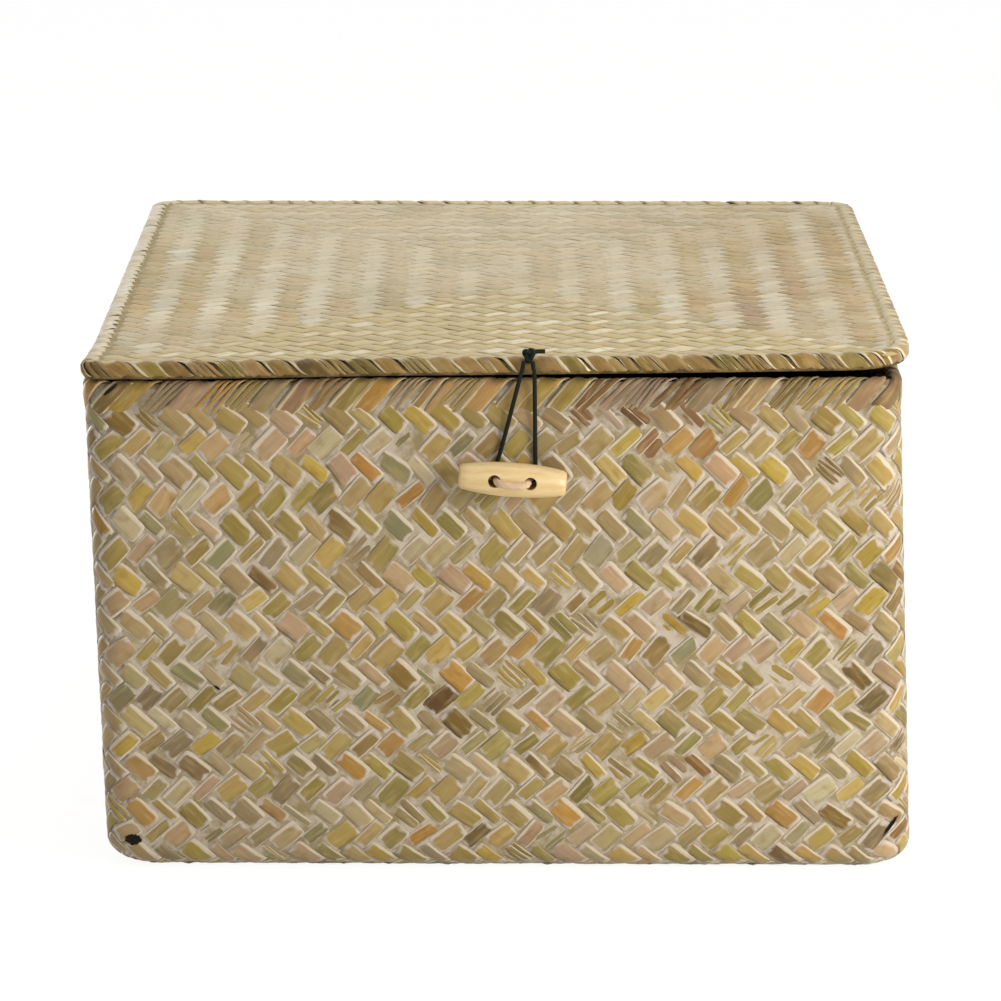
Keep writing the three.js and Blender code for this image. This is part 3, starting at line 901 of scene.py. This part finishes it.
def twisted(name, points, radius, material, steps, plies, lay_length, closed=False, sides=16, groove=0.16):
    """A cord of twisted plies along a route; its UV counts millimetres along and turns round."""
    path, long = smooth_route(points, steps, closed)
    heading = np.gradient(path, axis=0)
    if closed:
        heading = np.roll(path, -1, axis=0) - np.roll(path, 1, axis=0)
    heading = unit(heading)
    side = np.cross(heading[0], (0.3, 0.5, 0.8))
    sideways = []
    for ahead in heading:
        side = unit(side - ahead * side.dot(ahead))
        sideways.append(side)
    side = np.array(sideways)
    other = np.cross(heading, side)
    around = np.linspace(0, 2 * math.pi, sides, endpoint=False)
    distance = np.linspace(0, long, len(path))
    twist = distance / (lay_length * MM) * 2 * math.pi
    if closed:
        twist = np.round(long / (lay_length * MM)) * 2 * math.pi * np.arange(len(path)) / len(path)
    swell = 1 - groove + groove * np.cos((around[None] - twist[:, None]) * plies)
    reach = radius * swell
    rings = path[:, None] + (
        side[:, None] * (np.cos(around)[None] * reach)[..., None]
        + other[:, None] * (np.sin(around)[None] * reach)[..., None]
    )
    made = rings_mesh(name, list(rings), material, looped=closed)
    layer = made.data.uv_layers.new(name="grain")
    numbers = np.zeros(len(made.data.loops), int)
    made.data.loops.foreach_get("vertex_index", numbers)
    values = np.stack([distance[numbers // sides] / MM, numbers % sides / sides], -1)
    layer.data.foreach_set("uv", values.astype(np.float32).ravel())
    return made


def thread(name, one, other):
    finish = Finish(name, Roughness=0.8, Sheen_Weight=0.2)
    fibre = finish.noise(finish.where((3, 5, 1), "grain"), 4, 0.7)
    finish.bump(fibre, 0.5, 0.15 * MM)
    return finish.give(Base_Color=finish.mix(fibre, one, other))


stitch_thread = thread("twisted_cotton", "d9c9a8", "b39f78")
for number in range(1, 7):
    low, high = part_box(f"hinge_stitch_{number}")
    middle = (low + high) / 2
    thick = (high.x - low.x) / 2
    radius = (high.y - low.y) / 2 - thick
    route = [
        (middle.x, middle.y + radius * math.cos(turn), middle.z + radius * math.sin(turn))
        for turn in np.linspace(0, 2 * math.pi, 12, endpoint=False)
    ]
    ring = twisted(f"hinge_ring_{number}", route, thick, stitch_thread, 48, 2, 3, closed=True, sides=10)
    belongs(ring, "basket", f"hinge_stitch_{number}")

# Lid: edge roll
# The lid's edge is a cane with both mats folded round it, wound all the way with flat strips that
# cross its face on the slant. The corners are rounder at the right, where the lid also stands up a
# little from the rim.

border_low, border_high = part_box("lid_border")
lid_wide = border_high.x - border_low.x
lid_deep = border_high.y - border_low.y
lid_base = border_low.z
lid_top = border_high.z
roll_wide = 7 * MM
wrap_pitch = 9.4 * MM
roll_foot = 0.8 * MM
lid_askew = 3.0 * MM
lid_rise = 2.8 * MM
rise_start = -70 * MM
lid_swell = 1.4 * MM
lid_swell_span = -130 * MM, -30 * MM
lid_bend = 2.4 * MM
bend_reach = 55 * MM
lid_way = Way(lid_wide, lid_deep, [23 * MM, 14 * MM, 12 * MM, 6 * MM])


def raised(x, y, z):
    """The lid's front lies to the right, its front right stands up and its front corners bend left."""
    forward = np.clip((lid_deep / 2 - y) / lid_deep, 0, 1)
    share = np.clip((x - rise_start) / (lid_wide / 2 - rise_start), 0, 1) ** 1.4
    rise = lid_rise * share + lid_swell * smooth_step(x, *lid_swell_span)
    bend = lid_bend * np.clip(1 - (lid_deep / 2 + y) / bend_reach, 0, 1) ** 2 * (2 * x / lid_wide) ** 2
    return np.stack([x + lid_askew * forward - bend, y, z + rise * forward], -1)


def roll_outline(turns, inset, middle, half_tall):
    """The roll's section as outward and up: a circle squared off and flattened."""
    across, up = (np.copysign(np.abs(wave) ** 0.6, wave) for wave in (np.cos(turns), np.sin(turns)))
    return np.stack([-roll_wide / 2 + (roll_wide / 2 - inset) * across, middle + half_tall * up], -1)


wrap_thick = 0.3 * MM
roll_section = Section(roll_outline(
    np.radians(np.linspace(-170, 170, 48)), wrap_thick,
    (lid_base + roll_foot + lid_top) / 2, (lid_top - lid_base - roll_foot) / 2 - wrap_thick,
))
# Browns for the wraps on the roll's front face: partly the strips' own colour, partly painted shade, darker
# than the sides because light falls from above.
SHADED_FRONT_WRAP_TONES = (
    ("81642e", 0.18), ("8a6c34", 0.18), ("745a28", 0.13), ("8b6c40", 0.1), ("7f7030", 0.18),
    ("8c4f22", 0.08), ("9c8048", 0.1), ("513a1c", 0.05),
)
wrap_count = round(lid_way.long / wrap_pitch)
front_reach = 14 * MM
left_reach = 6 * MM
right_shade = 0.2
right_shade_span = 30 * MM, 120 * MM
side_spread = 1.16
wraps = wound(lid_way, wrap_count, roll_section.long, math.pi - strip_lean, wrap_pitch * math.sin(strip_lean))
wrap_x, wrap_y = lid_way.at(middles(wraps)[:, 0], 0)
wrap_pale = picked(("ddd7c8", "e6e0d4", "ccc3ad"), wrap_count)
wrap_tan = picked(("b9a26f", "9f8655", "c2ad80"), wrap_count)
wrap_tones = tones_of(wraps, (SHADED_FRONT_WRAP_TONES,), 0.8) * rng.uniform(0.68, 1.16, (wrap_count, 1))
at_front = wrap_y <= front_reach - lid_deep / 2
at_left = wrap_x < left_reach - lid_wide / 2
wrap_tones = np.where(at_front[:, None], wrap_tones, np.where(at_left[:, None], wrap_pale, wrap_tan))
wrap_tones = wrap_tones * (1 - right_shade * smooth_step(wrap_x, *right_shade_span)[:, None])
wraps["wide"] = wraps["wide"] * np.where(at_front, 1, side_spread)
wraps, wrap_tones = split_some(wraps, wrap_tones, np.where(at_front, 0.45, 0))
# The last set of numbers paints a highlight over the top of the roll.
wrap_leaf = leaf(
    "wound_leaf", "dfd1ad", "b9a27a", 0.95, 0.2, 0.45, 0.35,
    bare=(0.83, 0.94), top_highlight=(0.68, 0.78, "cfc19b", 0.75),
)
border_wraps = lay(
    "border_wraps", wraps, wrap_tones, roll_section.carried(lid_way, raised), wrap_leaf,
    high=0.45, deep=0.2, grid=(18, 3), turn=0.04, stray=0,
)
belongs(border_wraps, "lid", "lid_border")

core_turns = np.linspace(0, 2 * math.pi, 16, endpoint=False)
cane_low, cane_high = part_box("lid_cane")
cane_round = (cane_high.z - cane_low.z) / 2
cane_outward = cane_high.x - lid_wide / 2 - cane_round
cane_outline = np.stack([
    cane_outward + cane_round * np.cos(core_turns), cane_low.z + cane_round * (1 + np.sin(core_turns))
], -1)
lid_cane_ring = core_round("lid_cane_ring", lid_way, cane_outline, raised, cane_material)
belongs(lid_cane_ring, "lid", "lid_cane")
core_inset = 0.9 * MM
core_drop = 0.45 * MM
core_cut = 0.65 * MM
core_outline = roll_outline(
    core_turns, core_inset, (lid_base + lid_top) / 2 - core_drop, (lid_top - lid_base) / 2 - core_cut
)
border_core = core_round(
    "border_core", lid_way, core_outline, raised, dusty("leaf_underside_border", "7a6440", "4a3a20")
)
belongs(border_core, "lid", "lid_border")

# Lid: plaited mats
# The top mat's rows run beside the nearest edge and meet in mitres. Seen along the lid, strips that
# lean one way look pale and silky and those that lean the other way tan. The pale tones are partly
# the strips' own and partly painted sheen; at the front only the crown of each float keeps its tone,
# as painted highlight. A plainer mat lines it.

mat_inset = 5.1 * MM
mat_top = lid_top - 0.3 * MM
lid_pitch = 6.9 * MM
lid_uneven = 0.9 * MM
mat_sink = 0.5 * MM
mat_thick = 2.2 * MM
ground_sink = 0.53 * MM
edge_drop = 1.2 * MM
edge_reach = 8 * MM


def sheet_rings(inset, low, high):
    """Rings of a flat sheet inside the roll, from the middle of its underside out and back."""
    shares = (0.04, 0.2, 0.4, 0.6, 0.8, 1)
    rows = (low, shares), (high, shares[::-1])
    return [ring_of(lid_way, -inset, z, raised, share) for z, row in rows for share in row]


def onto_lid(x, y, out):
    near = np.minimum(lid_wide / 2 - np.abs(x), lid_deep / 2 - np.abs(y))
    return raised(x, y, mat_top - mat_sink - edge_drop * np.clip(1 - near / edge_reach, 0, 1) + out)


# Pale tones at the front and cool ones elsewhere, for strips that lean one way: partly the strips' own colour,
# partly painted sheen.
PALE_SHEEN_TONES = (("ebe0c4", 0.3), ("e2d6b4", 0.3), ("f0e8d2", 0.2), ("d6c9a8", 0.2))
TAN_TONES = (("c4a869", 0.3), ("b89e5c", 0.2), ("cab279", 0.2), ("c1a174", 0.18), ("b5a870", 0.12))
COOL_SHEEN_TONES = (("ddd5c2", 0.3), ("d5cdbb", 0.3), ("e4ddcd", 0.2), ("cfc1a4", 0.2))
WARM_TONES = (("ba9d58", 0.3), ("b0944e", 0.2), ("c0a76a", 0.2), ("b8995f", 0.15), ("a99b5d", 0.15))
lid_floats = plaited_mat(lid_wide - 2 * mat_inset, lid_deep - 2 * mat_inset, lid_pitch, lid_uneven, mitred=True)
lid_middle = middles(lid_floats)
lid_front = lid_deep / 2 + lid_middle[:, 1] < lid_wide / 2 - np.abs(lid_middle[:, 0])
lid_tones = np.where(
    lid_front[:, None],
    tones_of(lid_floats, (PALE_SHEEN_TONES, TAN_TONES), 0.7),
    tones_of(lid_floats, (COOL_SHEEN_TONES, WARM_TONES), 0.4),
)
faded_tone = np.array(srgb("d3c4a8"))
fade_middle, fade_side = 0.65, 0.55
side_from = 60 * MM
lid_back = lid_middle[:, 1] / lid_deep + 0.5
lid_side = np.clip(np.abs(lid_middle[:, 0]) / side_from - 1, 0, 1)
mid_faded = np.clip((lid_back - 0.3) / 0.2, 0, 1) * fade_middle
side_faded = np.clip((lid_back - 0.6) / 0.3, 0, 1) * fade_side
lid_faded = (mid_faded * (1 - lid_side) + side_faded * lid_side)[:, None]
lid_tones = lid_tones * (1 - lid_faded) + faded_tone * lid_faded
lid_tones = stained(
    lid_tones, lid_middle, 110, (7, 22), 0.5, ("a99252", "e3dccf", "c2a872", "a39458", "d9d0b8")
)
lid_right = smooth_step(lid_middle[:, :1], 30 * MM, 110 * MM)
field_mean = lid_tones[~lid_front].mean(0)
field_contrast = 1.12 + lid_right * (0.25, 0.45, 1.1)
field_shade = (0.83, 0.805, 0.67) * (1 - lid_right * (0.17, 0.25, 0.44))
field_tones = ((field_mean + (lid_tones - field_mean) * field_contrast) * field_shade).clip(0, 1)
front_shade = (0.85, 0.85, 0.79)
lid_tones = np.where(lid_front[:, None], lid_tones * front_shade, field_tones)
field_leaf = leaf("plaited_leaf_lid_field", "d9ccab", "cbbb98", 0.3, 0.3, 0.4, 0.1, blotch="c8b080")
# Front zone: each float keeps its tone only on a small rounded crown and goes tan round it, so the pale floats
# show bright strokes: painted highlight.
front_leaf = leaf(
    "plaited_leaf_lid_front", "b8a36c", "b49f68", 0.9, 0.9, 0.4, 0.12, (0.02, 0.16), "c2ae7c", rounded=True
)
for zone, high, crisp, part, material in (
    ("field", 0.1, 2.2, ~lid_front, field_leaf), ("front", 0.4, 3, lid_front, front_leaf),
):
    lid_plait = lay(
        f"lid_plait_{zone}", some_of(lid_floats, part), lid_tones[part], onto_lid, material,
        high=high, deep=0.03, turn=0.03, stray=0.12, crisp=crisp, spread=1.12,
    )
    belongs(lid_plait, "lid", "lid_top_mat")

lid_ground = rings_mesh(
    "lid_ground",
    sheet_rings(mat_inset, mat_top - mat_thick, mat_top - ground_sink),
    dusty("leaf_underside_lid", "c6b994", "b09f7a"),
)
belongs(lid_ground, "lid", "lid_top_mat")

under_low, under_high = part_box("lid_under_mat")
lid_lining = pressed_mat(
    "lid_lining_plait", lid_wide - 4 * mat_inset, lid_deep - 4 * mat_inset, lid_pitch, lid_uneven,
    raised, under_low.z + 0.45 * MM, -1, inner_leaf,
)
belongs(lid_lining, "lid", "lid_under_mat")

lining_ground = rings_mesh(
    "lining_ground",
    sheet_rings(mat_inset, under_low.z + 0.5 * MM, under_high.z),
    dusty("leaf_underside_lining", "b3a283", "8a7757"),
)
belongs(lining_ground, "lid", "lid_under_mat")

# Closure loop and its knot
# A thin black elastic, braided round a core, is knotted on the lid's front edge with a short tail
# and runs down behind the toggle.

black = Finish("black_elastic", Roughness=0.75, Specular_IOR_Level=0.15)
braid = black.node(
    "TexWave",
    {"wave_type": "BANDS", "bands_direction": "DIAGONAL"},
    {"Vector": black.where((0.9, 2, 1), "grain"), "Scale": 1, "Distortion": 0.4},
    "Fac",
)
black.bump(braid, 0.6, 0.2 * MM)
elastic = black.give(Base_Color=black.mix(braid, "0d0f0a", "20251d"))


def elastic_cord(name, route, steps, closed=False):
    return twisted(name, route, 0.85 * MM, elastic, steps, 3, 2.4, closed, groove=0.08)


knot_x = 13.6 * MM
knot_at = np.array((knot_x, -193 * MM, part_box("loop_knot")[1].z + 0.1 * MM))
toggle_shift = np.array((0.7, 0, 2.1)) * MM
loop_top = np.array((0.4, 0, 1.8)) * MM
loop_upper = np.array([
    (11.4, -195.2, 189.4), (10.9, -194.6, 186.7), (9.7, -193.85, 182.1), (15.3, -193.85, 182.1),
    (14.9, -194.6, 186.7), (14.6, -195.2, 189.4),
]) * MM + loop_top
loop_lower = np.array([
    (1.9, -191.65, 152.95), (-1.43, -192.0, 147.27), (0.92, -192.0, 144.82), (13.58, -192.0, 143.68),
    (15.6, -192.0, 146.13), (15.3, -191.65, 152.95),
]) * MM + toggle_shift
loop_cord = elastic_cord("loop_cord", np.concatenate([loop_upper[:3], loop_lower, loop_upper[3:]]), 260)
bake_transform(loop_cord)
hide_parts("closure_loop")


def knot_route(at, wide, deep, tall):
    """The way of a cord through a single knot."""
    turns = np.linspace(0, 2 * math.pi, 30, endpoint=False)
    across = np.sin(turns) + 2 * np.sin(2 * turns)
    up = np.cos(turns) - 2 * np.cos(2 * turns)
    return np.stack([across * wide, -np.sin(3 * turns) * deep, up * tall], -1) * MM + np.array(at)


tail_steps = np.array([(0, 0, 0.5), (3.2, 1.5, 1), (5.8, 2, 0.9)]) * MM
loop_knot = elastic_cord("loop_knot_turns", knot_route(knot_at, 0.62, 0.9, 0.78), 120, closed=True)
knot_tail = elastic_cord("loop_knot_tail", knot_at + tail_steps, 24)
for piece in (loop_knot, knot_tail):
    belongs(piece, "lid", "loop_knot")

# Toggle
# A small barrel of pale wood, turned thick in the middle with flat ends, bored with two holes and
# rubbed smooth.

toggle_long = 39 * MM
toggle_thick = 12.5 * MM
toggle_end = 8.6 * MM
end_round = 1 * MM
toggle_at = np.array((7.1, -199.75, 146.7)) * MM + toggle_shift
toggle_tilt = math.radians(4)
hole_gap = 13 * MM
hole_round = 4.7 * MM

bpy.ops.object.select_all(action="DESELECT")
bpy.ops.mesh.primitive_circle_add(
    vertices=40, radius=toggle_end / 2 - end_round, fill_type="NGON", location=(0, 0, -toggle_long / 2)
)
toggle = bpy.context.object
toggle.name = "toggle_barrel"
bpy.ops.object.transform_apply()
bpy.ops.object.mode_set(mode="EDIT")
bpy.ops.mesh.select_all(action="SELECT")
stations = [(-1, toggle_end / 2 - end_round), (-0.985, toggle_end / 2 - 0.3 * end_round)]
for share in np.linspace(-0.95, 0.95, 17):
    stations.append((share, toggle_thick / 2 - (toggle_thick - toggle_end) / 2 * abs(share) ** 2.2))
stations += [(0.985, toggle_end / 2 - 0.3 * end_round), (1, toggle_end / 2 - end_round)]
for (before, radius_before), (share, radius) in zip(stations, stations[1:]):
    rise = (share - before) * toggle_long / 2
    bpy.ops.mesh.extrude_region_move(TRANSFORM_OT_translate={"value": (0, 0, rise)})
    grow = radius / radius_before
    bpy.ops.transform.resize(value=(grow, grow, 1), center_override=(0, 0, share * toggle_long / 2))
bpy.ops.mesh.select_all(action="SELECT")
bpy.ops.mesh.normals_make_consistent(inside=False)
bpy.ops.object.mode_set(mode="OBJECT")
toggle.rotation_euler = (0, math.radians(90), 0)
bpy.ops.object.transform_apply()
for side in (-1, 1):
    bpy.ops.object.select_all(action="DESELECT")
    bpy.ops.mesh.primitive_cylinder_add(
        vertices=28, radius=hole_round / 2, depth=30 * MM, location=(side * hole_gap / 2, 0, 0),
        rotation=(math.radians(90), 0, 0),
    )
    drill = bpy.context.object
    bpy.context.view_layer.objects.active = toggle
    bore = toggle.modifiers.new("bore", "BOOLEAN")
    bore.object = drill
    bore.solver = "EXACT"
    bpy.ops.object.modifier_apply(modifier="bore")
    bpy.data.objects.remove(drill)
bpy.ops.object.select_all(action="DESELECT")
toggle.select_set(True)
bpy.context.view_layer.objects.active = toggle
rounding = toggle.modifiers.new("rounding", "BEVEL")
rounding.width = 0.35 * MM
rounding.segments = 3
rounding.limit_method = "ANGLE"
rounding.angle_limit = math.radians(38)
bpy.ops.object.modifier_apply(modifier="rounding")
bpy.ops.object.shade_smooth_by_angle(angle=math.radians(35))
toggle.rotation_euler = (0, toggle_tilt, 0)
toggle.location = toggle_at
bpy.ops.object.transform_apply()

wood = Finish("turned_wood", Coat_Weight=0.15, Coat_Roughness=0.3)
wood_rings = wood.noise(wood.where((35, 380, 380)), 4, 0.55)
wood_pores = wood.noise(wood.where((150, 1900, 1900)), 2)
wood.bump(wood_pores, 0.12, 0.1 * MM)
wood_pale = wood.mix(wood.step(wood_rings, 0.35, 0.7), "dac290", "ceb079")
wood_look = wood.mix(wood.step(wood_pores, 0.58, 0.75) * 0.3, wood_pale, "a98350")
toggle.data.materials.clear()
toggle.data.materials.append(wood.give(Base_Color=wood_look, Roughness=0.36 + wood_pores * 0.1))
belongs(toggle, "toggle", "toggle")

# Toggle thread
# Soft pale thread comes out through the wall and one hole, crosses the toggle's face and goes back
# in through the other, to a knot inside the box.

pale_thread = thread("pale_thread", "d8bd9c", "b8987a")
thread_inside = np.array([
    (4.3, -184.6, 146.7), (2.36, -184.6, 147.27), (0.62, -186.3, 147.27), (0.62, -190.5, 147.27),
    (13.58, -190.5, 146.13), (13.58, -186.3, 146.13), (11.84, -184.6, 146.13), (9.9, -184.6, 146.7),
]) * MM
thread_outside = np.array([
    (1.3, -199.75, 147.1), (1.6, -204.6, 146.9), (3.4, -206.9, 146.5), (7.1, -207.3, 145.9),
    (10.9, -206.9, 145.8), (12.5, -204.6, 146.1), (12.9, -199.75, 146.2),
]) * MM + toggle_shift
toggle_cord = twisted(
    "toggle_cord", np.concatenate([thread_inside[:4], thread_outside, thread_inside[4:]]),
    1.4 * MM, pale_thread, 200, 3, 9, groove=0.08,
)
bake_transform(toggle_cord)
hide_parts("toggle_thread")

inner_knot_low, inner_knot_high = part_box("thread_knot")
inner_knot_route = knot_route((inner_knot_low + inner_knot_high) / 2, 0.42, 0.5, 0.42)
inner_knot = twisted("thread_knot_turns", inner_knot_route, 1.15 * MM, pale_thread, 90, 3, 7, closed=True)
belongs(inner_knot, "basket", "thread_knot")
